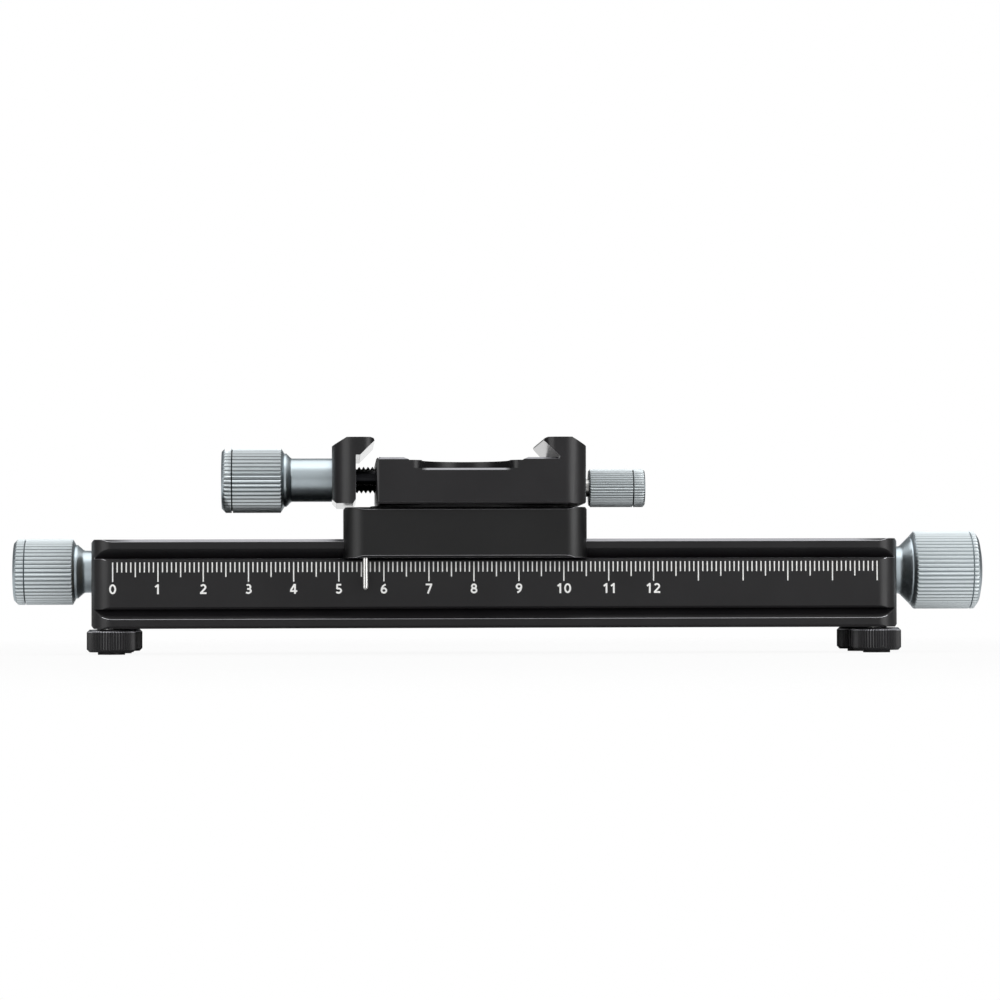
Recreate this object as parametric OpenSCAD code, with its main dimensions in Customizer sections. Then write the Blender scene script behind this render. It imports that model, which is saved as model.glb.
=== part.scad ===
/* [Rail] */
// Length of the rail bar
rail_len = 180; // [160:1:240]
// Width of the rail bar, the standard dovetail width
rail_w = 38; // [37:0.5:40]
// Height of the rail bar
rail_h = 19.8; // [19:0.1:24]
// Radius of the four upright corners of the bar
rail_corner_r = 4.8; // [3:0.1:6]
// Height of the square edge of each dovetail flange
flange_edge_h = 2.07; // [1.6:0.01:2.4]
// Depth of the 45 degree dovetail grooves
groove_depth = 2.24; // [1.8:0.01:2.4]
// Chamfer along both edges of the scale faces
scale_chamfer = 0.5; // [0.3:0.05:0.8]
// Chamfer along the top and bottom edges of the bar
rail_edge_chamfer = 0.55; // [0.3:0.05:0.7]
// Chamfer across the top and bottom of each end face
end_chamfer = 0.7; // [0.4:0.05:1]
// Width of the milled channel for the lead screw
channel_w = 13; // [12.6:0.1:15]
// Thickness of the solid wall at each end of the channel
end_wall = 14; // [11:0.5:18]
// Thickness of the channel floor
channel_floor = 5.8; // [5:0.1:6.6]
// Wall radius of the tripod thread in the underside
tripod_r = 2.6; // [2.5:0.05:3.2]

/* [Lead screw] */
// Outer diameter of the lead screw thread
lead_d = 8; // [7:0.1:8.4]
// Height of the lead screw axis above the underside
lead_z = 12.85; // [12.4:0.05:13.3]
// Diameter of the plain journals at both ends
journal_d = 6; // [5:0.1:6.4]
// Outer diameter of the pressed bushes
bush_d = 10; // [9:0.1:10.4]
// Diameter of the flange on each bush
bush_flange_d = 12; // [11:0.1:12.4]
// Thickness of the flange on each bush
bush_flange_t = 1; // [0.6:0.1:1.5]
// Thickness of the thrust washers
thrust_t = 1; // [0.6:0.1:1.5]

/* [Knobs] */
// Diameter of the left rail knob
left_knob_d = 14.9; // [13.5:0.1:16]
// Length of the knurled drum of the left rail knob
left_drum_len = 13.8; // [12:0.1:16]
// Length of the left rail knob with its neck
left_knob_len = 18.1; // [17.6:0.05:21]
// Diameter of the right rail knob
right_knob_d = 17.7; // [16.5:0.1:18.5]
// Length of the knurled drum of the right rail knob
right_drum_len = 16.35; // [14:0.05:19]
// Length of the right rail knob with its neck
right_knob_len = 21.35; // [20.6:0.05:25]
// Diameter of the clamp knob
clamp_knob_d = 14.8; // [13.5:0.1:15.4]
// Length of the knurled drum of the clamp knob
clamp_drum_len = 14.1; // [12:0.1:16]
// Length of the clamp knob with its neck
clamp_knob_len = 24.9; // [22:0.1:28]
// Diameter of the pan lock knob
lock_knob_d = 8.65; // [7.5:0.05:9]
// Length of the pan lock knob
lock_knob_len = 12.7; // [10:0.1:15]
// Spacing of the knurl ribs around the knobs
knob_rib_pitch = 1; // [0.9:0.05:1.3]
// Depth of the knurl ribs on the knobs
knob_rib_depth = 0.42; // [0.26:0.02:0.5]
// Spacing of the knurl ribs on the lock knob and the feet
fine_rib_pitch = 0.64; // [0.6:0.02:0.9]
// Depth of the knurl ribs on the lock knob and the feet
fine_rib_depth = 0.26; // [0.14:0.02:0.3]

/* [Stage] */
// Length of the sliding stage along the rail
stage_len = 54.2; // [48:0.1:60]
// Width of the sliding stage across the rail
stage_w = 46; // [45:0.1:50]
// Height of the underside of the stage skirts
stage_bottom = 15.6; // [15.6:0.02:15.9]
// Height of the top of the stage
stage_top = 26.8; // [26.4:0.1:29]
// Place of the middle of the stage along the rail
stage_x = -6.9; // [-30:0.1:30]
// Radius of the four upright corners of the stage
stage_corner_r = 5; // [4:0.1:6]
// Chamfer along the top and bottom edges of the stage
stage_chamfer = 0.5; // [0.3:0.05:0.7]
// Gap between the stage and the faces of the rail
slide_gap = 0.08; // [0.06:0.01:0.1]
// Thickness of the gib strip behind the rail
gib_t = 1.04; // [0.8:0.02:1.4]
// Length of the drive nut
nut_len = 20; // [18:0.5:24]
// Diameter of the index pin
index_d = 1.27; // [1:0.01:1.6]
// Distance from the left end of the stage to the index pin
index_inset = 4.9; // [4:0.1:7]
// Height of the lower end of the index pin
index_bottom = 8.4; // [7:0.1:11]

/* [Pan joint] */
// Diameter of the spindle post
spindle_d = 16; // [14:0.1:17]
// Diameter of the spindle flange
spindle_flange_d = 30; // [28:0.1:32]
// Thickness of the spindle flange
spindle_flange_t = 2; // [1.6:0.1:2.4]
// Outer diameter of the pan washer
pan_washer_d = 42; // [38:0.5:44]
// Gap between the stage and the clamp
pan_gap = 0.7; // [0.5:0.05:1]
// Height of the pan lock axis above the underside of the clamp
pan_lock_h = 4.1; // [3.8:0.05:4.4]

/* [Clamp] */
// Depth of the clamp across the rail
clamp_depth = 53; // [50:0.5:56]
// Distance from the pan axis to the left wall of the clamp body
body_left = 19.8; // [19.4:0.1:22]
// Distance from the pan axis to the right wall of the clamp body
body_right = 26.75; // [25.5:0.05:28]
// Thickness of the fixed jaw at the root of its lip
fixed_jaw_t = 6; // [5:0.05:7]
// Height of the seat lands above the underside of the clamp
land_h = 10.2; // [10.1:0.1:11]
// Drop from the seat lands to the middle of the clamp
land_drop = 0.6; // [0.4:0.05:0.9]
// Height of the jaw tops above the underside of the clamp
jaw_h = 14.7; // [14.4:0.1:15.4]
// Height of the 45 degree lip on each jaw
lip_h = 3.5; // [3:0.05:3.8]
// Radius of the upright corners of the clamp
clamp_corner_r = 5; // [4:0.1:6]
// Opening between the moving jaw and the clamp body
jaw_gap = 4.5; // [4.2:0.05:6]
// Thickness of the moving jaw
jaw_t = 5.3; // [4.8:0.05:6]
// Height of the clamp screw axis above the underside of the clamp
clamp_screw_h = 6; // [5.6:0.05:6.2]
// Outer diameter of the clamp screw thread
clamp_screw_d = 6; // [5:0.1:6.2]
// Diameter of the guide pins
guide_d = 3.2; // [2.6:0.1:3.6]
// Distance of each guide pin from the clamp screw
guide_offset = 15; // [13:0.5:17]
// Width of the shallow recesses in the clamp floor
recess_w = 19.4; // [17:0.1:20]
// Length of the shallow recesses in the clamp floor
recess_len = 13.7; // [13:0.1:20]
// Depth of the shallow recesses below the clamp floor
recess_depth = 1.8; // [1.4:0.1:1.9]

/* [Feet] */
// Distance of the feet from the middle of the rail
foot_x = 85.6; // [60:0.1:86]
// Distance of the feet from the rail's long axis
foot_y = 13.25; // [12:0.05:13.5]
// Diameter of the knurled foot discs
foot_d = 11; // [9:0.1:12]
// Thickness of the knurled foot discs
foot_t = 5.05; // [4:0.05:6]
// Diameter of the foot pads
pad_d = 6.05; // [5:0.05:7]
// Thickness of the foot pads
pad_t = 0.5; // [0.4:0.05:1]
// Diameter of the foot studs
foot_stud_d = 5; // [4:0.1:5.2]

/* [Hidden] */
$fn = 64;

// Small clearances: parts fixed to each other, parts that turn or slide, faces that nearly touch
fixed_gap = 0.02;
running_gap = 0.05;
face_gap = 0.05;
// A little extra length for cuts that pass through a face
cut = 1;
// Segments in a quarter-round corner
corner_steps = 8;

black = [0.16, 0.16, 0.17];
pale = [0.72, 0.76, 0.78];
steel = [0.62, 0.63, 0.65];
dark_steel = [0.22, 0.22, 0.24];
bronze = [0.72, 0.52, 0.30];

// Places along the rail and heights that follow from the sizes above
channel_half = rail_len / 2 - end_wall;
groove_top_wall = rail_h - flange_edge_h;
journal_r = journal_d / 2;
lead_shoulder = channel_half - thrust_t - face_gap;
knob_face = rail_len / 2 + 0.1;
stage_left = stage_x - stage_len / 2;
stage_right = stage_x + stage_len / 2;
stage_under = rail_h + face_gap;
clamp_z = stage_top + pan_gap;
axis_z = clamp_z + clamp_screw_h;
body_x0 = stage_x - body_left;
body_x1 = stage_x + body_right;
jaw_x1 = body_x0 - jaw_gap;
jaw_x0 = jaw_x1 - jaw_t;
land_z = clamp_z + land_h;
floor_z = land_z - land_drop;
jaw_z = clamp_z + jaw_h;
knob_x = jaw_x0 - face_gap;

// Rounds and outlines

function arc(x, y, r, from, to, steps) =
    [for (i = [0:steps]) let (a = from + (to - from) * i / steps) [x + r * cos(a), y + r * sin(a)]];

function rounded_outline(x0, x1, y0, y1, r_left, r_right) = concat(
    arc(x1 - r_right, y1 - r_right, r_right, 0, 90, corner_steps),
    arc(x0 + r_left, y1 - r_left, r_left, 90, 180, corner_steps),
    arc(x0 + r_left, y0 + r_left, r_left, 180, 270, corner_steps),
    arc(x1 - r_right, y0 + r_right, r_right, 270, 360, corner_steps));

// A bar whose outline in the X-Z plane is given, across the whole of Y
module across_y(depth, points)
    translate([0, depth / 2, 0]) rotate([90, 0, 0]) linear_extrude(depth) polygon(points);

// A bar whose outline in the Y-Z plane is given, along X from x0 to x1
module along_x(x0, x1, points)
    translate([x0, 0, 0]) rotate([90, 0, 90]) linear_extrude(x1 - x0) polygon(points);

// A round rod along X
module rod_x(d, x0, x1, y, z)
    translate([x0, y, z]) rotate([0, 90, 0]) cylinder(d = d, h = x1 - x0);

// A round rod along Y
module rod_y(d, y0, y1, x, z)
    translate([x, y0, z]) rotate([-90, 0, 0]) cylinder(d = d, h = y1 - y0);

// The teeth of a straight knurl, as one star-shaped outline
function knurl_outline(d, depth, pitch) =
    let (ribs = round(PI * d / pitch))
    [for (i = [0:2 * ribs - 1]) let (r = d / 2 - (i % 2) * depth, a = 180 * i / ribs) [r * cos(a), r * sin(a)]];

// The outer end of a knob, from its axis outwards: a flat face with a chamfer
function flat_end(r, edge) = [[0, 0], [r - edge, 0], [r + edge, 2 * edge]];

// The outer end of a knob, from its axis outwards: a shallow dome with a steep edge
function domed_end(r, face_r, face_drop, edge_len) = concat(
    [for (i = [0:4]) [face_r * i / 4, face_drop * i * i / 16]],
    [[2 * r - face_r, face_drop + 2 * edge_len]]);

// A knurled drum: it stands on its outer end at z = 0 and ends in a short cone
module knurled_drum(d, len, pitch, depth, end_points, cone_r, cone_len, groove_at) {
    r = d / 2;
    difference() {
        intersection() {
            linear_extrude(len) polygon(knurl_outline(d, depth, pitch));
            rotate_extrude() polygon(concat(end_points,
                [[r + cone_r, len - 2 * cone_len], [r - cone_r, len], [0, len]]));
        }
        translate([0, 0, groove_at]) difference() {
            cylinder(r = r + cut, h = ring_groove_w);
            translate([0, 0, -cut]) cylinder(r = r - depth - 0.02, h = 2 * cut + ring_groove_w);
        }
    }
}

// The smooth end of a turned knob: a collar, a cone that runs into a fillet, and a neck
module knob_neck(len, collar_r, collar_len, neck_r, cone_angle, fillet_r, neck_end) {
    start = len + collar_len;
    cone_len = (collar_r - neck_r - fillet_r * (1 - cos(cone_angle))) / tan(cone_angle);
    rotate_extrude() polygon(concat([[0, len - 1.5], [collar_r, len - 1.5], [collar_r, start]],
        [for (i = [0:6]) let (a = cone_angle * (1 - i / 6))
            [neck_r + fillet_r * (1 - cos(a)), start + cone_len + fillet_r * (sin(cone_angle) - sin(a))]],
        [[neck_r, neck_end], [0, neck_end]]));
}

// A headless set screw with a hexagon socket: it stands on its end face at z = 0
module set_screw(d, len)
    difference() {
        cylinder(d = d, h = len);
        translate([0, 0, len - d * 0.45]) cylinder(d = d * 0.55, h = d, $fn = 6);
    }

// A cap screw with its head above z = 0 and its shank below
module cap_screw(d, len) {
    difference() {
        union() {
            translate([0, 0, -len]) cylinder(d = d, h = len);
            cylinder(d = d * 1.8, h = d);
        }
        translate([0, 0, d * 0.45]) cylinder(d = d * 0.92, h = d, $fn = 6);
    }
}

// Rail

rail_side = rail_w / 2;
rail_half_outline = [
    [rail_side - rail_edge_chamfer, 0], [rail_side, rail_edge_chamfer],
    [rail_side, flange_edge_h], [rail_side - groove_depth, flange_edge_h + groove_depth],
    [rail_side - scale_chamfer, flange_edge_h + groove_depth],
    [rail_side, flange_edge_h + groove_depth + scale_chamfer],
    [rail_side, groove_top_wall - groove_depth - scale_chamfer],
    [rail_side - scale_chamfer, groove_top_wall - groove_depth],
    [rail_side - groove_depth, groove_top_wall - groove_depth],
    [rail_side, groove_top_wall], [rail_side, rail_h - rail_edge_chamfer],
    [rail_side - rail_edge_chamfer, rail_h]];
rail_outline = concat(rail_half_outline,
    [for (i = [len(rail_half_outline) - 1:-1:0]) [-rail_half_outline[i][0], rail_half_outline[i][1]]]);
foot_hole_depth = 9;
foot_stud_len = 8;

module rail_body() color(black) difference() {
    intersection() {
        along_x(-rail_len / 2, rail_len / 2, rail_outline);
        linear_extrude(rail_h) polygon(rounded_outline(-rail_len / 2, rail_len / 2, -rail_side, rail_side,
            rail_corner_r, rail_corner_r));
        across_y(rail_w + 2, [
            [-rail_len / 2, end_chamfer], [-rail_len / 2 + end_chamfer, 0],
            [rail_len / 2 - end_chamfer, 0], [rail_len / 2, end_chamfer],
            [rail_len / 2, rail_h - end_chamfer], [rail_len / 2 - end_chamfer, rail_h],
            [-rail_len / 2 + end_chamfer, rail_h], [-rail_len / 2, rail_h - end_chamfer]]);
    }
    translate([0, 0, channel_floor]) linear_extrude(rail_h)
        polygon(rounded_outline(-channel_half, channel_half, -channel_w / 2, channel_w / 2, 1, 1));
    rod_x(bush_d + 2 * fixed_gap, -rail_len / 2 - cut, rail_len / 2 + cut, 0, lead_z);
    for (side = [-1, 1])
        rod_x(bush_flange_d + 2 * fixed_gap, side * (rail_len / 2 + cut / 2 - bush_flange_t / 2)
            - cut / 2 - bush_flange_t / 2, side * (rail_len / 2 + cut / 2 - bush_flange_t / 2)
            + cut / 2 + bush_flange_t / 2, 0, lead_z);
    for (x = [-foot_x, foot_x], y = [-foot_y, foot_y])
        translate([x, y, -cut]) cylinder(d = foot_stud_d + 2 * running_gap, h = foot_hole_depth + cut);
    translate([0, 0, -cut]) cylinder(r = tripod_r, h = channel_floor + 2 * cut);
}

// side is -1 for the left end of the rail and 1 for the right end
module bush(side) color(bronze) {
    x_in = channel_half;
    x_out = rail_len / 2;
    mirror([side < 0 ? 1 : 0, 0, 0]) difference() {
        union() {
            rod_x(bush_d, x_in, x_out, 0, lead_z);
            rod_x(bush_flange_d, x_out - bush_flange_t, x_out, 0, lead_z);
        }
        rod_x(journal_d + 2 * running_gap, x_in - cut, x_out + cut, 0, lead_z);
    }
}

module thrust_washer(side) color(steel)
    mirror([side < 0 ? 1 : 0, 0, 0]) difference() {
        rod_x(bush_d + 1, channel_half - thrust_t, channel_half, 0, lead_z);
        rod_x(journal_d + 2 * running_gap, channel_half - thrust_t - cut, channel_half + cut, 0, lead_z);
    }

// Lead screw and its two knobs

knob_collar_r = 6.05;
left_neck_r = 4.76;
left_knob_outer = -knob_face - left_knob_len;
right_collar_r = 7.5;
right_neck_r = 5.35;
right_knob_outer = knob_face + right_knob_len;
// Where the face of the right knob turns into its steep edge
right_face_r = right_knob_d / 2 - 1.25;
knob_end_wall = 3;
ring_groove_w = 0.3;
set_screw_d = 3;
set_screw_place = 7.5;

module lead_screw() color(dark_steel) union() {
    rod_x(lead_d, -lead_shoulder, lead_shoulder, 0, lead_z);
    rod_x(journal_d, left_knob_outer + knob_end_wall, right_knob_outer - knob_end_wall, 0, lead_z);
}

// The bore for the screw and the hole for the set screw, seen from the outer end face
module knob_cuts(d, neck_end, bore_d) {
    translate([0, 0, knob_end_wall]) cylinder(d = bore_d + 2 * fixed_gap, h = neck_end);
    translate([0, 0, set_screw_place]) rotate([-90, 0, 0])
        cylinder(d = set_screw_d + 2 * fixed_gap, h = d);
}

module left_knob() color(pale)
    translate([left_knob_outer, 0, lead_z]) rotate([0, 90, 0]) difference() {
        union() {
            knurled_drum(left_knob_d, left_drum_len, knob_rib_pitch, knob_rib_depth,
                flat_end(left_knob_d / 2, 0.9), 1.2, 0.67, 2.4);
            knob_neck(left_drum_len, knob_collar_r, 0.5, left_neck_r, 42, 1.2, left_knob_len);
        }
        knob_cuts(left_knob_d, left_knob_len, journal_d);
    }

module right_knob() color(pale)
    translate([right_knob_outer, 0, lead_z]) rotate([0, -90, 0]) difference() {
        union() {
            knurled_drum(right_knob_d, right_drum_len, knob_rib_pitch, knob_rib_depth,
                domed_end(right_knob_d / 2, right_face_r, 1, 0.85), 1.05, 0.93, 2.7);
            knob_neck(right_drum_len, right_collar_r, 0.3, right_neck_r, 45, 1.2, right_knob_len);
        }
        knob_cuts(right_knob_d, right_knob_len, journal_d);
    }

module knob_set_screw(x, z, shaft_r, knob_r)
    translate([x, shaft_r + fixed_gap, z]) rotate([-90, 0, 0])
        set_screw(set_screw_d, knob_r - shaft_r - 2 * knob_rib_depth - 0.4);

module rail_knob_set_screws() color(dark_steel) {
    knob_set_screw(left_knob_outer + set_screw_place, lead_z, journal_r, left_knob_d / 2);
    knob_set_screw(right_knob_outer - set_screw_place, lead_z, journal_r, right_knob_d / 2);
}

// Stage

// Height of the 45 degree faces that run under the rail's upper flanges, at a distance y from the middle
function lip_face_z(y) = groove_top_wall - (rail_side - y) - slide_gap * sqrt(2);
stage_side = stage_w / 2;
lip_y = rail_side + slide_gap;
lip_tip_y = rail_side - (groove_top_wall - slide_gap * sqrt(2) - stage_bottom);
gib_outer = lip_y + gib_t;
gib_pocket = gib_outer + face_gap;
gib_bottom = stage_bottom + face_gap;
nut_screw_d = 2.5;
nut_screw_x = 7;
nut_screw_y = 4.2;
nut_screw_len = 5.2;
spindle_screw_d = 3;
spindle_screw_ring = 11.5;
flange_floor = stage_top - spindle_flange_t;
gib_screw_z = (groove_top_wall + rail_h) / 2 - 0.3;
gib_screws = [-18, 0, 18];
index_x = stage_left + index_inset;
// Share of the skirt's thickness between the rail and the index pin's axis
index_share = 0.4;
index_y = -(rail_side + index_share * (stage_side - rail_side));
index_seat = 7;

module stage_body() color(black) difference() {
    intersection() {
        along_x(stage_left - cut, stage_right + cut, [
            [-stage_side, stage_bottom + stage_chamfer], [-stage_side + stage_chamfer, stage_bottom],
            [-lip_tip_y, stage_bottom], [-lip_y, lip_face_z(lip_y)], [-lip_y, stage_under],
            [gib_pocket, stage_under], [gib_pocket, stage_bottom],
            [stage_side - stage_chamfer, stage_bottom], [stage_side, stage_bottom + stage_chamfer],
            [stage_side, stage_top - stage_chamfer], [stage_side - stage_chamfer, stage_top],
            [-stage_side + stage_chamfer, stage_top], [-stage_side, stage_top - stage_chamfer]]);
        translate([0, 0, stage_bottom - cut]) linear_extrude(stage_top)
            polygon(rounded_outline(stage_left, stage_right, -stage_side, stage_side,
                stage_corner_r, stage_corner_r));
        across_y(stage_w + 2, [
            [stage_left, stage_bottom], [stage_right, stage_bottom],
            [stage_right, stage_top - stage_chamfer], [stage_right - stage_chamfer, stage_top],
            [stage_left + stage_chamfer, stage_top], [stage_left, stage_top - stage_chamfer]]);
    }
    translate([stage_x, 0, flange_floor]) cylinder(d = spindle_flange_d + 0.1, h = spindle_flange_t + cut);
    for (x = [-nut_screw_x, nut_screw_x], y = [-nut_screw_y, nut_screw_y])
        translate([stage_x + x, y, stage_under - cut]) {
            cylinder(d = nut_screw_d + 2 * fixed_gap, h = flange_floor);
            translate([0, 0, cut + flange_floor - stage_under - nut_screw_d - fixed_gap])
                cylinder(d = nut_screw_d * 1.8 + 0.2, h = 2 * nut_screw_d);
        }
    for (a = [0, 120, 240])
        translate([stage_x, 0, stage_under - cut]) rotate([0, 0, a]) translate([spindle_screw_ring, 0, 0])
            cylinder(d = spindle_screw_d + 2 * fixed_gap, h = stage_top);
    for (x = gib_screws)
        rod_y(set_screw_d + 2 * fixed_gap, gib_pocket - cut, stage_side + cut, stage_x + x, gib_screw_z);
    translate([index_x, index_y, stage_bottom - cut])
        cylinder(d = index_d + 2 * fixed_gap, h = index_seat + cut);
}

nut_side_gap = 0.3;
nut_below = 5.4;
nut_hole_depth = 3.4;

module drive_nut() color(bronze) difference() {
    translate([stage_x - nut_len / 2, -channel_w / 2 + nut_side_gap, lead_z - nut_below])
        cube([nut_len, channel_w - 2 * nut_side_gap, stage_under - lead_z + nut_below]);
    rod_x(lead_d + 2 * running_gap, stage_x - nut_len / 2 - cut, stage_x + nut_len / 2 + cut, 0, lead_z);
    for (x = [-nut_screw_x, nut_screw_x], y = [-nut_screw_y, nut_screw_y])
        translate([stage_x + x, y, stage_under - nut_hole_depth])
            cylinder(d = nut_screw_d + 2 * fixed_gap, h = nut_hole_depth + cut);
}

module nut_screws() color(dark_steel)
    for (x = [-nut_screw_x, nut_screw_x], y = [-nut_screw_y, nut_screw_y])
        translate([stage_x + x, y, flange_floor - nut_screw_d - fixed_gap]) cap_screw(nut_screw_d, nut_screw_len);

module gib_strip() color(bronze)
    along_x(stage_left + 1, stage_right - 1, [
        [gib_outer, gib_bottom], [gib_outer, stage_under - face_gap], [lip_y, stage_under - face_gap],
        [lip_y, lip_face_z(lip_y)], [lip_tip_y + face_gap, gib_bottom]]);

module gib_set_screws() color(dark_steel)
    for (x = gib_screws)
        translate([stage_x + x, gib_outer + fixed_gap, gib_screw_z]) rotate([-90, 0, 0])
            set_screw(set_screw_d, stage_side - gib_outer - 0.3);

module index_pin() color(steel)
    translate([index_x, index_y, index_bottom]) union() {
        translate([0, 0, index_d / 2])
            cylinder(d = index_d, h = stage_bottom + index_seat - index_bottom - index_d / 2 - 0.1);
        rotate_extrude() polygon(concat([[0, index_d / 2 + 0.1]], [[0, 0]],
            arc(0, index_d / 2, index_d / 2, -90, 0, 4), [[index_d / 2, index_d / 2 + 0.1]]));
    }

// Pan joint

post_top = axis_z - 0.1;
post_r = spindle_d / 2;
pan_lock_z = clamp_z + pan_lock_h;
post_groove_depth = 1.2;
post_groove_r = post_r - post_groove_depth;
lock_bore_d = 4;
countersink_depth = 1.7;
countersink_d = 6.3;
screw_head_depth = 1.4;
screw_head_d = 5.4;

module pan_spindle() color(steel) translate([stage_x, 0, 0]) difference() {
    rotate_extrude() polygon([
        [0, flange_floor], [spindle_flange_d / 2, flange_floor],
        [spindle_flange_d / 2, stage_top - face_gap], [post_r, stage_top - face_gap],
        [post_r, pan_lock_z - 1.4], [post_groove_r, pan_lock_z - 0.4],
        [post_groove_r, pan_lock_z + 0.4], [post_r, pan_lock_z + 1.4],
        [post_r, post_top - 0.4], [post_r - 0.4, post_top], [0, post_top]]);
    for (a = [0, 120, 240])
        rotate([0, 0, a]) translate([spindle_screw_ring, 0, flange_floor - cut]) {
            cylinder(d = spindle_screw_d + 0.4, h = spindle_flange_t + 2 * cut);
            translate([0, 0, cut + spindle_flange_t - countersink_depth])
                cylinder(d1 = spindle_screw_d + 0.1, d2 = countersink_d, h = countersink_depth);
        }
}

module spindle_screws() color(dark_steel)
    for (a = [0, 120, 240])
        translate([stage_x, 0, 0]) rotate([0, 0, a]) translate([spindle_screw_ring, 0, 0]) difference() {
            union() {
                translate([0, 0, stage_under + 0.3])
                    cylinder(d = spindle_screw_d, h = stage_top - stage_under - 1.5);
                translate([0, 0, stage_top - face_gap - screw_head_depth - 0.1])
                    cylinder(d1 = spindle_screw_d - 0.2, d2 = screw_head_d, h = screw_head_depth);
            }
            translate([0, 0, stage_top - 1.1]) cylinder(d = 2, h = 2, $fn = 6);
        }

module pan_washer() color(dark_steel) translate([stage_x, 0, stage_top]) difference() {
    cylinder(d = pan_washer_d, h = pan_gap - face_gap);
    translate([0, 0, -cut]) cylinder(d = spindle_flange_d + 1, h = pan_gap + 2 * cut);
}

// Clamp

lip_step = 0.95;
jaw_slope_x = 3.3;
jaw_slope_z = 1.95;
lip_tip_z = land_z + 0.25 + lip_h;
fixed_lip_root = body_x1 - fixed_jaw_t;
clamp_side = clamp_depth / 2;
clamp_chamfer = 0.4;
// Half the length of the clamp's lowered floor, and the run of the slope at each end of it
floor_half = 12.5;
floor_slope = 0.75;
lip_plan_r = 3;
tapped_end = stage_x - post_r - 1;
guide_hole_end = stage_x - 4.6;
retaining_hole_d = 4;
retaining_screw_len = 16;
recess_mouth_r = 2.3;

module clamp_outline_cut(x, r, direction) {
    // The upright round at each end of a lip: everything outside the round is cut away
    for (side = [-1, 1])
        translate([0, 0, land_z + 0.1]) linear_extrude(jaw_h) polygon(concat(
            [[x - direction * cut, side * (clamp_side + cut)], [x - direction * cut, side * (clamp_side - r)]],
            [for (i = [0:6]) [x + direction * r * (1 - cos(15 * i)), side * (clamp_side - r + r * sin(15 * i))]],
            [[x + direction * r, side * (clamp_side + cut)]]));
}

function recess_outline(side) = concat(
    [[-recess_w / 2 - recess_mouth_r, side * (clamp_side + cut)]],
    [for (i = [0:4]) [-recess_w / 2 - recess_mouth_r * (1 - sin(22.5 * i)),
        side * (clamp_side - recess_mouth_r * (1 - cos(22.5 * i)))]],
    [for (i = [0:16]) [-recess_w / 2 * cos(11.25 * i),
        side * (clamp_side - recess_len + recess_w / 2 - recess_w / 2 * sin(11.25 * i))]],
    [for (i = [4:-1:0]) [recess_w / 2 + recess_mouth_r * (1 - sin(22.5 * i)),
        side * (clamp_side - recess_mouth_r * (1 - cos(22.5 * i)))]],
    [[recess_w / 2 + recess_mouth_r, side * (clamp_side + cut)]]);

module clamp_body() color(black) difference() {
    intersection() {
        across_y(clamp_depth + 2,
            [[body_x0, clamp_z + 1], [body_x0 + 0.6, clamp_z],
             [body_x1 - clamp_chamfer, clamp_z], [body_x1, clamp_z + clamp_chamfer],
             [body_x1, jaw_z - jaw_slope_z], [body_x1 - jaw_slope_x, jaw_z],
             [fixed_lip_root - lip_h + 0.9, jaw_z], [fixed_lip_root - lip_h + 0.2, jaw_z - 0.25],
             [fixed_lip_root - lip_h, lip_tip_z], [fixed_lip_root, lip_tip_z - lip_h],
             [fixed_lip_root, land_z],
             [stage_x + floor_half + floor_slope, land_z], [stage_x + floor_half, floor_z],
             [stage_x - floor_half, floor_z], [stage_x - floor_half - floor_slope, land_z],
             [body_x0 + 0.4, land_z], [body_x0, land_z - 0.4]]);
        along_x(body_x0 - cut, body_x1 + cut, [
            [clamp_side - clamp_chamfer, clamp_z], [clamp_side, clamp_z + clamp_chamfer],
            [clamp_side, jaw_z + cut], [-clamp_side, jaw_z + cut],
            [-clamp_side, clamp_z + clamp_chamfer], [-clamp_side + clamp_chamfer, clamp_z]]);
        translate([0, 0, clamp_z - cut]) linear_extrude(jaw_h + 2 * cut)
            polygon(rounded_outline(body_x0, body_x1, -clamp_side, clamp_side, 0.8, clamp_corner_r));
    }
    clamp_outline_cut(fixed_lip_root - lip_h, lip_plan_r, 1);
    for (side = [-1, 1])
        translate([stage_x, 0, floor_z - recess_depth]) {
            linear_extrude(jaw_h) polygon(recess_outline(side));
            along_x(-recess_w / 2, recess_w / 2, [[side * (clamp_side - recess_depth), recess_depth - clamp_chamfer],
                [side * (clamp_side + cut), recess_depth - clamp_chamfer],
                [side * (clamp_side + cut), -clamp_chamfer - cut]]);
        }
    translate([stage_x, 0, clamp_z - cut])
        cylinder(d = spindle_d + 2 * running_gap, h = post_top - clamp_z + 0.3 + cut);
    rod_x(clamp_screw_d + 2 * running_gap, body_x0 - cut, tapped_end, 0, axis_z);
    for (y = [-guide_offset, guide_offset])
        rod_x(guide_d + 2 * running_gap, body_x0 - cut, guide_hole_end, y, axis_z);
    rod_x(lock_bore_d + 2 * running_gap, stage_x, body_x1 + cut, 0, pan_lock_z);
    rod_y(retaining_hole_d + 2 * fixed_gap, 0, clamp_side + cut, stage_x, pan_lock_z);
}

// The blunt nose of the retaining screw and of the lock shoe, which stands in the spindle's groove
nose_gap = 0.2;
nose_tip_r = 0.3;
nose_root_r = 1.1;
nose_len = 1.15;
nose_land = 0.3;
nose_end = nose_len + nose_land;

module groove_nose() {
    cylinder(r1 = nose_tip_r, r2 = nose_root_r, h = nose_len);
    translate([0, 0, nose_len - 0.01]) cylinder(r = nose_root_r, h = nose_land + 0.02);
}

module pan_retaining_screw() color(dark_steel)
    translate([stage_x, post_groove_r + nose_gap, pan_lock_z]) rotate([-90, 0, 0]) union() {
        groove_nose();
        translate([0, 0, nose_end]) set_screw(retaining_hole_d, retaining_screw_len - nose_end);
    }

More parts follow.
